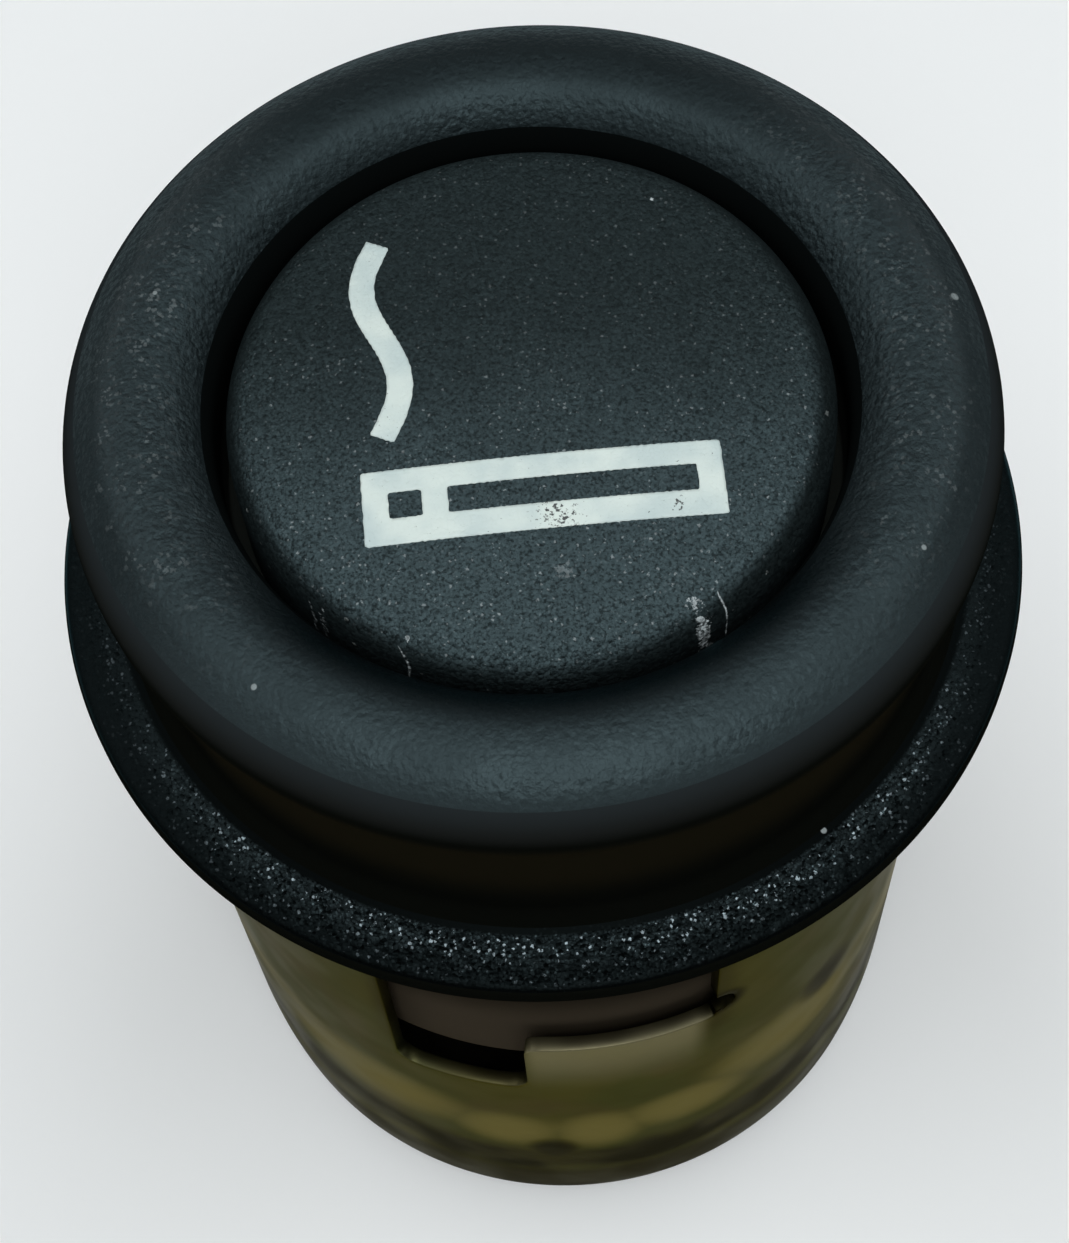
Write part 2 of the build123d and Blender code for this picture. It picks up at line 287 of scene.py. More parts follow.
def makeMouldGrain():
    # grain of an etched mould: each cell is a small facet with its own lean, on soft lumps;
    # Height is in millimetres for a slope of about one, Glint picks out a few whole facets
    inputs = {"Vector": None, "Size": 0.2, "Lean": 0.5, "Facet": 1.0, "Lump": 1.0}
    tree, given, result = newGroup("mouldGrain", inputs, ["Height", "Glint"])
    vector, size = given["Vector"], given["Size"]
    scale = calc("DIVIDE", 1.0, size)
    warp = put(tree, "ShaderNodeTexNoise", {"Vector": vector, "Scale": times(scale, 0.6)}).outputs[0]
    cell = put(tree, "ShaderNodeTexVoronoi", {"Vector": vector, "Scale": scale}).outputs
    lean = vectorCalc("SUBTRACT", cell["Color"], (0.5, 0.5, 0.5))
    facet = vectorCalc("DOT_PRODUCT", lean, vectorCalc("SUBTRACT", vector, cell["Position"]))
    lump = times(minus(warp, 0.5), size)
    rounded = times(cell["Distance"], cell["Distance"], size)
    flat = minus(times(facet, 2.0), times(rounded, 0.5))
    height = plus(times(flat, given["Facet"]), times(lump, given["Lump"]))
    chosen = put(tree, "ShaderNodeSeparateColor", {0: cell["Color"]}).outputs[2]
    glint = times(ramp(cell["Distance"], 0.42, 0.24), ramp(chosen, 0.70, 0.86))
    feed(result, {"Height": times(height, given["Lean"]), "Glint": glint})
    return tree


def makeDustSpecks():
    # scattered specks: one in each cell of the given spacing, kept for the given share of cells
    inputs = {"Vector": None, "Spacing": 1.0, "Size": 0.05, "Share": 0.3}
    tree, given, result = newGroup("dustSpecks", inputs, ["Mask"])
    sockets = {"Vector": given["Vector"], "Scale": calc("DIVIDE", 1.0, given["Spacing"])}
    cell = put(tree, "ShaderNodeTexVoronoi", sockets).outputs
    colour = put(tree, "ShaderNodeSeparateColor", {0: cell["Color"]}).outputs
    limit = times(given["Size"], plus(colour[1], 0.35))
    speck = ramp(minus(times(cell["Distance"], given["Spacing"]), limit), 0.0, -0.02)
    feed(result, {"Mask": times(speck, calc("LESS_THAN", colour[0], given["Share"]))})
    return tree


def makeLineScratch():
    # a thin straight line seen from above, pointed at both ends and broken in places
    inputs = {"Vector": None, "X": 0.0, "Y": 0.0, "AlongX": 1.0, "AlongY": 0.0, "Length": 1.0, "Width": 0.04}
    tree, given, result = newGroup("lineScratch", inputs, ["Mask"])
    vector, alongX, alongY = given["Vector"], given["AlongX"], given["AlongY"]
    part = put(tree, "ShaderNodeSeparateXYZ", {0: vector}).outputs
    x, y = minus(part["X"], given["X"]), minus(part["Y"], given["Y"])
    along = plus(times(x, alongX), times(y, alongY))
    across = minus(times(x, alongY), times(y, alongX))
    waver = times(minus(noise(vector, 0.4), 0.5), 0.10)
    off = calc("ABSOLUTE", plus(across, waver))
    share = calc("DIVIDE", along, given["Length"])
    body = times(share, minus(1.0, share), 4.0)
    line = ramp(minus(off, times(given["Width"], body)), 0.01, -0.02)
    broken = ramp(noise(vector, 0.14, 3.0), 0.36, 0.50)
    feed(result, {"Mask": times(line, broken, ramp(body, 0.0, 0.2))})
    return tree


roundPlace = makeRoundPlace()
mouldGrain = makeMouldGrain()
dustSpecks = makeDustSpecks()
lineScratch = makeLineScratch()
print("node groups built")


def newMaterial(name):
    # a Principled shader and the object's own coordinates in millimetres
    material = bpy.data.materials.new(name)
    material.use_nodes = True
    tree = material.node_tree
    shader = next(n for n in tree.nodes if n.type == "BSDF_PRINCIPLED")
    own = put(tree, "ShaderNodeTexCoord").outputs["Object"]
    scaled = put(tree, "ShaderNodeVectorMath", {0: own, "Scale": 1 / mm}, operation="SCALE")
    return material, shader, scaled.outputs[0]


def specks(vector, spacing, size, share):
    sockets = {"Vector": vector, "Spacing": spacing, "Size": size, "Share": share}
    return useGroup(dustSpecks, sockets)["Mask"]


def grainOf(vector, size, lean, facet=1.0, lump=1.0):
    sockets = {"Vector": vector, "Size": size, "Lean": lean, "Facet": facet, "Lump": lump}
    return useGroup(mouldGrain, sockets)


def spot(vector, x, y, size):
    # 1 at a place seen from above, falling to 0 at the given distance from it
    flat = vectorCalc("MULTIPLY", vector, (1, 1, 0))
    return ramp(vectorCalc("DISTANCE", flat, (x, y, 0)), size, 0.0)


def torn(vector, reach):
    # the coordinates shaken by noise of the same size, so that round marks become ragged flecks
    tree = vector.id_data
    cloud = put(tree, "ShaderNodeTexNoise", {"Vector": vector, "Scale": 1 / reach}).outputs["Color"]
    sockets = {0: vectorCalc("SUBTRACT", cloud, (0.5, 0.5, 0.5)), 1: (reach * 2,) * 3, 2: vector}
    return put(tree, "ShaderNodeVectorMath", sockets, operation="MULTIPLY_ADD").outputs[0]


def setBump(shader, height, depth=1.0):
    sockets = {"Height": height, "Distance": depth * mm, "Strength": 1.0}
    feed(shader, {"Normal": put(shader.id_data, "ShaderNodeBump", sockets).outputs[0]})


# Knob: finger ring, neck, flange and shank in one moulding

knobLow, knobHigh = nodeBox("knob")
knobShape = {
    "ringTube": 1.7, "ringOuter": 10.57, "crestShift": 0.14, "neckRadius": 9.95, "underRingRound": 0.5,
    "flangeLow": 23.6, "flangeEdge": 0.7, "flangeSlope": 0.35, "flangeLip": 0.55, "lipRadius": 10.7,
    "coveRound": 0.45, "flangeTopRound": 0.25, "flangeLowRound": 0.2, "shankRadius": 9.7, "shankInner": 8.5,
    "shankStep": 1.0, "shankExtra": 0.3, "shankRound": 0.3, "bore": 8.05, "webLow": 24.9, "pocketFloor": 26.5,
    "pocketRadius": 5.19, "studHole": 2.03, "recessDepth": 2.2, "softEdge": 0.12, "segments": 288,
    "spacing": 0.14, "longestRun": 0.8, "grainOutside": 1.05, "grainInside": 0.8,
}
ringZ = knobHigh[2] - knobShape["ringTube"]
ringMid = knobShape["ringOuter"] - knobShape["ringTube"]
flangeTop = knobShape["flangeLow"] + knobShape["flangeEdge"] + knobShape["flangeSlope"]
shankLimit = knobShape["shankRadius"] + 0.1
knobFinish = {
    "ringColour": rgb(0.0018, 0.0027, 0.0031), "flangeColour": rgb(0.0030, 0.0042, 0.0044),
    # the first colour below is painted shade, for the flange next to the neck and at its edge
    "rimShadeColour": rgb(0.0008, 0.0010, 0.0009), "dustColour": rgb(0.30, 0.33, 0.33),
    # the first colour below is painted sparkle, pale specks that stand in for glints on the flange
    "paintedSparkleColour": rgb(0.42, 0.50, 0.54), "specularTint": rgb(0.66, 0.93, 1.0), "specular": 0.56,
    "fineGrain": 0.10, "fineLean": 0.20, "sideLean": 0.34, "coarseGrain": 0.09, "coveLean": 0.60,
    "outerLean": 0.30, "roughness": 0.56, "flangeRoughness": 0.42, "coveDull": 0.62, "outerDull": 0.96,
    "nearAngles": (72.0, 37.0), "farAngles": (70.0, 25.0), "dustShare": 0.6, "glintFleckShare": 0.18,
    # larger specks: x, y, size
    "largeSpecks": [
        (-6.22, -7.02, 0.10), (5.92, -8.5, 0.11), (9.6, 1.2, 0.14), (8.0, -5.05, 0.09), (-8.2, 2.9, 0.08),
    ],
}
neckFinish = {
    # the colours below are painted light: a grey sheen on the shoulder, a darker side, black shade in the
    # cove, under the ring and down its inner side, a brown reflection on the neck, and a shank shaded under
    # the flange and paler lower down; the gap colour is dust
    "shoulderSheenColour": rgb(0.0148, 0.0182, 0.0196), "sideColour": rgb(0.0090, 0.0100, 0.0094),
    "brownReflectionColour": rgb(0.0078, 0.0066, 0.0036), "coveShadeColour": rgb(0.0028, 0.0032, 0.0024),
    "innerShadeColour": rgb(0.0030, 0.0040, 0.0040), "gapColour": rgb(0.030, 0.034, 0.030),
    "shankShadeColour": rgb(0.0136, 0.0109, 0.0072), "shankLitColour": rgb(0.040, 0.0315, 0.0215),
    "specular": 0.0, "roughness": 0.6,
}


def makeKnobPlastic(finish):
    material, shader, vector = newMaterial("knobPlastic")
    place = useGroup(roundPlace, {"Vector": vector})
    radius, height = place["Radius"], place["Height"]
    onFlange = ramp(height, flangeTop + 0.5, flangeTop + 0.1)
    # near is 1 next to the reader of the sign, far is 1 opposite, aside is 1 between the two
    fromNear = calc("ABSOLUTE", plus(place["Angle"], 90.0))
    fromFar = calc("ABSOLUTE", minus(place["Angle"], 90.0))
    near, far = ramp(fromNear, *finish["nearAngles"]), ramp(fromFar, *finish["farAngles"])
    aside = minus(1.0, larger(near, far))
    # the ring's grain is deeper at its two sides
    lean = ramp(aside, 0.0, 1.0, finish["fineLean"], finish["sideLean"])
    fine = grainOf(vector, finish["fineGrain"], lean, 0.35, 2.0)
    # the flange's grain is deepest near the neck and towards the reader, and stops short of neck and edge
    onGrain = times(ramp(radius, 10.44, 10.6), ramp(radius, 11.76, 11.5))
    front = times(ramp(fromNear, 75.0, 30.0, 0.3, 1.0), onGrain)
    lean = times(ramp(radius, 11.4, 10.6, finish["outerLean"], finish["coveLean"]), front)
    coarse = grainOf(vector, finish["coarseGrain"], lean)
    setBump(shader, mixValue(onFlange, fine["Height"], coarse["Height"]))
    # skin colour, painted darker next to the neck and round the flange's edge as painted shade, pale dust and
    # the larger specks
    ground = mixColour(onGrain, finish["rimShadeColour"], finish["flangeColour"])
    skin = mixColour(onFlange, finish["ringColour"], ground)
    dust = specks(vector, 2.2, 0.045, 0.12)
    for x, y, size in finish["largeSpecks"]:
        dust = larger(dust, ramp(spot(vector, x, y, size), 0.1, 0.5))
    skin = mixColour(times(dust, finish["dustShare"]), skin, finish["dustColour"])
    # painted glints: pale flecks in the dust colour, in clusters at the crest's two sides, and dense painted
    # sparkles on the flange, strongest towards the front
    glintFleck = specks(torn(vector, 0.08), 0.13, 0.055, 0.8)
    glintFleck = times(glintFleck, ramp(noise(vector, 0.7), 0.38, 0.68))
    onCrest = ramp(height, ringZ + 1.2, ringZ + 1.6)
    glintFleck = times(glintFleck, onCrest, times(aside, finish["glintFleckShare"]))
    skin = mixColour(glintFleck, skin, finish["dustColour"])
    paintedSparkle = times(specks(torn(vector, 0.05), 0.11, 0.04, 0.42), onFlange)
    paintedSparkle = times(paintedSparkle, times(front, front), ramp(radius, 11.35, 10.75, 0.1, 1.0))
    skin = mixColour(paintedSparkle, skin, finish["paintedSparkleColour"])
    # the ring is rougher towards its shoulder, and the facets that glint are smoother
    cloud = noise(vector, 1.6, 3.0, 0.6)
    rough = ramp(cloud, 0.3, 0.7, finish["roughness"] - 0.04, finish["roughness"] + 0.05)
    outside = calc("GREATER_THAN", radius, ringMid)
    shoulder = times(ramp(height, ringZ + 1.45, ringZ + 1.05), outside)
    rough = plus(rough, times(shoulder, 0.2))
    smooth = minus(finish["flangeRoughness"], times(coarse["Glint"], 0.14))
    # on the flange only the facets that glint keep their full shine, fewer of them towards the edge
    inward = times(ramp(radius, 11.5, 10.6), front)
    dull = ramp(inward, 0.0, 0.9, finish["outerDull"], finish["coveDull"])
    bright = larger(times(coarse["Glint"], inward), paintedSparkle)
    dull = times(dull, minus(1.0, bright))
    # painted shade: the ring's shine is damped, by a metallic share over its dark skin, down its inner side
    # on the near side (-Y), down its outer side elsewhere, and over the far crest
    wearAndShade = times(ramp(radius, 8.75, 7.7, 0.0, 0.9), near)
    wearAndShade = larger(wearAndShade, times(ramp(radius, 9.3, 9.75, 0.0, 0.5), minus(1.0, near)))
    wearAndShade = larger(wearAndShade, times(ramp(radius, 7.9, 8.35, 0.0, 0.4), far))
    feed(shader, {
        "Base Color": skin, "Roughness": mixValue(onFlange, rough, smooth),
        "Metallic": mixValue(onFlange, wearAndShade, dull),
        "Specular IOR Level": finish["specular"], "Specular Tint": finish["specularTint"],
    })
    return material


def makeNeckPlastic(finish):
    # dull skin from the ring's shoulder down, with its light painted in: a grey painted sheen, then black
    # painted shade, then a brown painted reflection that thins out
    material, shader, vector = newMaterial("neckPlastic")
    place = useGroup(roundPlace, {"Vector": vector})
    radius, height = place["Radius"], place["Height"]
    cloud = noise(vector, 1.4, 3.0, 0.6)
    wavy = plus(height, times(minus(cloud, 0.5), 0.4))
    brownReflection = ramp(wavy, flangeTop + 0.5, flangeTop + 2.4)
    skin = mixColour(brownReflection, finish["coveShadeColour"], finish["brownReflectionColour"])
    # up the ring's outer side: black painted shade under the ring, a darker side, then the grey painted sheen
    # of the shoulder
    layers = (("coveShadeColour", -0.5, 0.1), ("sideColour", 0.05, 0.6), ("shoulderSheenColour", 0.45, 1.15))
    for colour, low, high in layers:
        skin = mixColour(ramp(height, ringZ + low, ringZ + high), skin, finish[colour])
    # painted shade darkens the ring's inner side, and dust lies at the bottom of the gap
    inside = calc("LESS_THAN", radius, ringMid - 0.1)
    skin = mixColour(inside, skin, finish["innerShadeColour"])
    inGap = times(inside, ramp(wavy, ringZ - 0.7, ringZ - 1.5))
    skin = mixColour(inGap, skin, finish["gapColour"])
    # the shank is painted brown, in painted shade under the flange and painted paler lower down
    shank = mixColour(ramp(height, 17.6, 15.2), finish["shankShadeColour"], finish["shankLitColour"])
    below = ramp(height, flangeTop - 0.3, flangeTop - 0.6)
    onShank = times(below, calc("GREATER_THAN", shankLimit, radius))
    skin = mixColour(onShank, skin, shank)
    rough = ramp(cloud, 0.3, 0.7, finish["roughness"] - 0.05, finish["roughness"] + 0.05)
    feed(shader, {"Base Color": skin, "Roughness": rough, "Specular IOR Level": finish["specular"]})
    return material


def makeKnob(shape, grained, smooth):
    # the ring is most of a circle, joined to the neck by a small hollow; the rest is straight runs
    recess = ringMid - shape["ringTube"]
    flange, shankEnd = knobHigh[0], knobLow[2] - shape["shankExtra"]
    stop = shape["flangeLow"] + shape["flangeLip"]
    edgeTop = shape["flangeLow"] + shape["flangeEdge"]
    hollow = shape["underRingRound"]
    across = shape["neckRadius"] + hollow - ringMid
    down = math.sqrt((shape["ringTube"] + hollow) ** 2 - across**2)
    meet = math.degrees(math.atan2(-down, across))
    ring = arcPoints((ringMid, ringZ), shape["ringTube"], 180, meet, shape["spacing"])
    # the crest is moved towards the axis, by the fourth power of the height above the section's middle
    ring[:, 0] -= shape["crestShift"] * np.maximum((ring[:, 1] - ringZ) / shape["ringTube"], 0) ** 4
    hollowArc = arcPoints((ringMid + across, ringZ - down), hollow, meet + 180, 180, shape["spacing"])
    soft = shape["softEdge"]
    body = roundedPath([
        (shape["neckRadius"], ringZ - down, 0), (shape["neckRadius"], flangeTop, shape["coveRound"]),
        (flange, edgeTop, shape["flangeTopRound"]), (flange, shape["flangeLow"], shape["flangeLowRound"]),
        (shape["lipRadius"], shape["flangeLow"], soft), (shape["lipRadius"], stop, soft),
        (shape["shankRadius"], stop, soft), (shape["shankRadius"], shankEnd, shape["shankRound"]),
        (shape["shankInner"], shankEnd, shape["shankRound"]),
        (shape["shankInner"], stop - shape["shankStep"], soft),
        (shape["bore"], stop - shape["shankStep"], soft), (shape["bore"], shape["webLow"], soft),
        (shape["studHole"], shape["webLow"], soft), (shape["studHole"], shape["pocketFloor"], soft),
        (shape["pocketRadius"], shape["pocketFloor"], soft),
        (shape["pocketRadius"], ringZ - shape["recessDepth"], soft),
        (recess, ringZ - shape["recessDepth"], soft), (recess, ringZ, 0),
    ], shape["spacing"])
    outline = filledPath(np.vstack([ring, hollowArc, body[1:]]), shape["longestRun"])[:-1]
    knob = gridPiece("knob_grip", turnedGrid(outline, shape["segments"]), grained, loop=True)
    # the grain covers the ring's crest and the flange's upper side, the rest is dull and takes the neck
    # finish with its painted sheen and shade
    r, z = ((outline + np.roll(outline, -1, 0)) / 2).T
    onFlange = (z < flangeTop + 0.03) & (z > edgeTop - 0.05) & (r > shape["neckRadius"] + shape["coveRound"])
    outside = r > ringMid - shape["crestShift"]
    onCrest = z > ringZ + np.where(outside, shape["grainOutside"], shape["grainInside"])
    bare = np.repeat(~(onCrest | onFlange), shape["segments"])
    knob.data.materials.append(smooth)
    knob.data.polygons.foreach_set("material_index", bare.astype(np.int32))
    return knob


knobGrip = makeKnob(knobShape, makeKnobPlastic(knobFinish), makeNeckPlastic(neckFinish))
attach(knobGrip, "plunger")
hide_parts("knob")
print("knob made")


# Cap: a shallow dome with a rolled edge, held by its spigot

capLow, capHigh = nodeBox("symbol_cap")
capShape = {
    "dome": 0.35, "edgeRound": 0.85, "wall": 0.9, "skirt": 1.0, "skirtLow": 27.85,
    "spigotOuter": 5.17, "spigotInner": 4.39, "softEdge": 0.12, "segments": 256, "spacing": 0.1,
    "domeRows": 40, "edgeReach": 1.6, "longestRun": 0.6,
}
capFinish = {
    # the second colour below is a painted highlight on the near side of the dome
    "farColour": rgb(0.0103, 0.0151, 0.0157), "nearHighlightColour": rgb(0.0440, 0.0640, 0.0695),
    # the first colour below darkens the pits and is painted shade on the rolled edge; the second covers
    # scuffs and painted glints
    "pitAndEdgeShadeColour": rgb(0.0030, 0.0044, 0.0044), "scuffAndGlintColour": rgb(0.42, 0.46, 0.47),
    "dustColour": rgb(0.40, 0.43, 0.42), "specularTint": rgb(0.66, 0.93, 1.0), "specular": 0.22,
    "grain": 0.085, "farLean": 0.34, "nearLean": 0.75, "roughness": 0.58, "edgeRoughness": 0.9,
    # scratches near the rim: first and last place, half width
    "scratches": [
        ((-5.15, -4.5), (-4.72, -5.4), 0.020), ((-3.25, -5.85), (-2.90, -6.45), 0.018),
        ((3.60, -5.30), (3.86, -5.85), 0.026), ((3.86, -5.75), (3.90, -6.20), 0.030),
    ],
    # scuffed patches: middle, size, and how much of the grain is rubbed pale
    "patches": [
        (3.10, -5.60, 0.36, 0.9), (3.27, -5.95, 0.40, 0.9), (3.46, -6.20, 0.30, 0.8),
        (0.41, -4.67, 0.45, 0.22), (-4.95, -4.9, 0.30, 0.4), (3.19, 4.76, 0.12, 0.9),
        (-3.02, -5.83, 0.12, 0.8),
    ],
}


def capHeight(r):
    # the dome falls as the square of the distance from the middle
    return capHigh[2] - capShape["dome"] * (r / capHigh[0]) ** 2


def makeCapPlastic(finish):
    material, shader, vector = newMaterial("capPlastic")
    radius = useGroup(roundPlace, {"Vector": vector})["Radius"]
    cloud = noise(vector, 2.2, 3.0, 0.6)
    part = put(vector.id_data, "ShaderNodeSeparateXYZ", {0: vector}).outputs
    toReader = plus(part["Y"], times(minus(cloud, 0.5), 2.5))
    # the grain is crisper towards the near side (-Y), where the skin is painted paler as a broad painted
    # highlight, and the rolled edge is painted black as painted shade
    lean = ramp(toReader, 4.5, -3.5, finish["farLean"], finish["nearLean"])
    grain = grainOf(vector, finish["grain"], lean, 0.8, 1.6)
    setBump(shader, grain["Height"])
    skin = mixColour(ramp(toReader, 2.5, -4.5), finish["farColour"], finish["nearHighlightColour"])
    # painted glints: a few grain facets are painted pale, more of them towards -Y
    glint = times(grain["Glint"], ramp(toReader, 3.0, -4.0, 0.01, 0.06))
    skin = mixColour(glint, skin, finish["scuffAndGlintColour"])
    # pits are a darker tone, and pale flecks between them are painted glints, more of them towards -Y
    pit = noise(vector, 0.075, 2.0, 0.6)
    skin = mixColour(ramp(pit, 0.52, 0.36, 0.0, 0.7), skin, finish["pitAndEdgeShadeColour"])
    glintFleck = specks(torn(vector, 0.05), 0.12, 0.034, 0.35)
    glintFleck = times(glintFleck, ramp(toReader, 3.0, -3.0, 0.12, 0.4))
    skin = mixColour(glintFleck, skin, finish["scuffAndGlintColour"])
    # painted shade: the rolled edge is painted black, in a band that starts further in on the +X side
    sideways = larger(times(part["X"], 0.055), times(part["X"], -0.03))
    shadedEdge = ramp(plus(radius, sideways), 6.54, 6.97)
    skin = mixColour(shadedEdge, skin, finish["pitAndEdgeShadeColour"])
    mark = 0.0
    for (x, y), (endX, endY), width in finish["scratches"]:
        length = math.hypot(endX - x, endY - y)
        sockets = {"Vector": vector, "X": x, "Y": y, "Length": length, "Width": width,
                   "AlongX": (endX - x) / length, "AlongY": (endY - y) / length}
        mark = larger(mark, useGroup(lineScratch, sockets)["Mask"])
    flake = noise(vector, 0.12, 4.0, 0.7)
    for x, y, size, amount in finish["patches"]:
        near = spot(vector, x, y, size)
        limit = minus(0.74, times(near, 0.34))
        rubAndReflection = times(ramp(minus(flake, limit), 0.0, 0.06), amount)
        mark = larger(mark, times(rubAndReflection, calc("GREATER_THAN", near, 0.01)))
    skin = mixColour(mark, skin, finish["scuffAndGlintColour"])
    # dust, and more of it near the rim
    lint = specks(torn(vector, 0.06), 0.36, 0.055, 0.3)
    atRim = times(lint, ramp(radius, 6.3, 6.7), 0.5)
    dust = larger(specks(vector, 1.9, 0.045, 0.16), atRim)
    skin = mixColour(times(dust, 0.6), skin, finish["dustColour"])
    rough = ramp(cloud, 0.3, 0.7, finish["roughness"] - 0.04, finish["roughness"] + 0.05)
    rough = minus(rough, times(grain["Glint"], 0.2))
    feed(shader, {
        "Base Color": skin, "Roughness": mixValue(shadedEdge, rough, finish["edgeRoughness"]),
        "Specular IOR Level": finish["specular"], "Specular Tint": finish["specularTint"],
    })
    return material


def makeCap(shape, material):
    # from the middle of the dome over the rolled edge, down the side, and back under it to the middle
    radius, under, soft = capHigh[0], capHigh[2] - shape["dome"] - shape["wall"], shape["softEdge"]
    flat = np.linspace(0, radius - shape["edgeReach"] * shape["edgeRound"], shape["domeRows"])
    dome = np.stack([flat, capHeight(flat)], -1)
    body = roundedPath([
        tuple(dome[-1]) + (0,), (radius, capHeight(radius), shape["edgeRound"]),
        (radius, shape["skirtLow"], soft), (radius - shape["skirt"], shape["skirtLow"], soft),
        (radius - shape["skirt"], under, soft), (shape["spigotOuter"], under, soft),
        (shape["spigotOuter"], capLow[2], soft), (shape["spigotInner"], capLow[2], soft),
        (shape["spigotInner"], under, soft), (0, under, 0),
    ], shape["spacing"])
    outline = filledPath(np.vstack([dome, body[1:]]), shape["longestRun"])
    poles = np.array([[0, 0, outline[0, 1]], [0, 0, outline[-1, 1]]])
    return gridPiece("cap_face", turnedGrid(outline[1:-1], shape["segments"]), material, poles=poles)


capFace = makeCap(capShape, makeCapPlastic(capFinish))
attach(capFace, "plunger")
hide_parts("symbol_cap")
print("cap made")


# Sign: a lit cigarette printed on the dome

signShape = {
    "move": (0.096, 0.046), "turn": -1.07, "barMiddle": (0.07, -2.80), "barTurn": 2.0, "barLength": 7.88,
    "barHeight": 1.80, "topLine": 0.55, "lowLine": 0.62, "endLine": 0.57, "tipWindow": 0.73,
    "smokeX": -3.35, "smokeSwing": 0.40, "smokeTop": 4.0, "smokeLow": -1.23, "smokeWave": 5.12,
    "smokeWidth": 0.58, "ragged": 0.008, "thickness": 0.02, "step": 0.055,
    "barCorner": 0.06, "windowCorner": 0.05,
}
signFinish = {
    "colour": rgb(0.47, 0.555, 0.545), "paleColour": rgb(0.60, 0.67, 0.63),
    "wornColour": rgb(0.05, 0.055, 0.055), "lean": 0.06, "wear": 0.285,
    # places that fingers have rubbed: x, y, size, and how much more is worn there
    "rubs": [(0.35, -3.35, 1.15, 0.16), (3.0, -3.32, 0.30, 0.22), (-3.45, -0.6, 0.9, 0.06)],
}


def signField(x, y):
    # above zero on the print: a bar with two windows, and a wave of constant width above its end
    s = signShape
    turn = math.radians(s["turn"])
    x, y = x - s["move"][0], y - s["move"][1]
    x, y = x * math.cos(turn) + y * math.sin(turn), y * math.cos(turn) - x * math.sin(turn)
    turn = math.radians(s["barTurn"])
    dx, dy = x - s["barMiddle"][0], y - s["barMiddle"][1]
    along, up = dx * math.cos(turn) + dy * math.sin(turn), dy * math.cos(turn) - dx * math.sin(turn)
    halfLong, halfHigh, line = s["barLength"] / 2, s["barHeight"] / 2, s["endLine"]
    low, high = s["lowLine"] - halfHigh, halfHigh - s["topLine"]
    tipEnd = line - halfLong + s["tipWindow"]
    bar = boxDistance(along, up, -halfLong, halfLong, -halfHigh, halfHigh, s["barCorner"])
    tip = boxDistance(along, up, line - halfLong, tipEnd, low, high, s["windowCorner"])
    long = boxDistance(along, up, tipEnd + line, halfLong - line, low, high, s["windowCorner"])
    bar = np.maximum(np.maximum(bar, -tip), -long)
    phase = 2 * np.pi / s["smokeWave"]
    middle = s["smokeX"] - s["smokeSwing"] * np.sin(phase * (s["smokeTop"] - y))
    lean = s["smokeSwing"] * phase * np.cos(phase * (s["smokeTop"] - y))
    sideways = np.abs(x - middle) / np.sqrt(1 + lean**2) - s["smokeWidth"] / 2
    endLean = s["smokeSwing"] * phase / math.sqrt(1 + (s["smokeSwing"] * phase) ** 2)
    endUp = math.sqrt(1 - endLean**2)
    past = (x - s["smokeX"]) * endLean + (y - s["smokeTop"]) * endUp
    below = -(x - s["smokeX"]) * endLean - (y - s["smokeLow"]) * endUp
    smoke = np.maximum(sideways, np.maximum(past, below))
    wobble = np.sin(31 * x + 17 * y) + np.sin(23 * y - 37 * x + 1.7) + np.sin(53 * x - 11 * y)
    return s["ragged"] * wobble / 2 - np.minimum(bar, smoke)


def makeSignPaint(finish):
    material, shader, vector = newMaterial("signPaint")
    setBump(shader, grainOf(vector, capFinish["grain"], finish["lean"])["Height"])
    # pits between the grains show the black below, most where fingers have rubbed
    pit = noise(vector, 0.10, 3.0, 0.7)
    limit = finish["wear"]
    for x, y, size, depth in finish["rubs"]:
        away = vectorCalc("DISTANCE", vector, (x, y, capHigh[2] - 0.1))
        limit = plus(times(ramp(away, size, 0.0), depth), limit)
    wearAndShade = ramp(minus(pit, limit), 0.03, -0.03)
    cloud = ramp(noise(vector, 1.1), 0.3, 0.7)
    paint = mixColour(cloud, finish["colour"], finish["paleColour"])
    paint = mixColour(wearAndShade, paint, finish["wornColour"])
    feed(shader, {"Base Color": paint, "Roughness": ramp(pit, 0.3, 0.7, 0.62, 0.5)})
    return material


def makeSign(shape, material):
    reach = shape["barLength"] / 2 + 0.5
    u = np.arange(-reach, reach, shape["step"])
    v = np.arange(shape["barMiddle"][1] - shape["barHeight"], shape["smokeTop"] + 0.6, shape["step"])
    lift = shape["thickness"] * 0.7

    def place(x, y):
        return np.stack([x, y, capHeight(np.hypot(x, y)) + lift], -1)

    sign = cutSheet("cap_sign", u, v, signField, place, material)
    solid = sign.modifiers.new("paint", "SOLIDIFY")
    solid.thickness, solid.offset = shape["thickness"] * mm, -1
    return sign


capSign = makeSign(signShape, makeSignPaint(signFinish))
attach(capSign, "plunger")
print("sign made")


# Sleeve: a tube of passivated sheet with three notches, each with a tab on one half of its floor

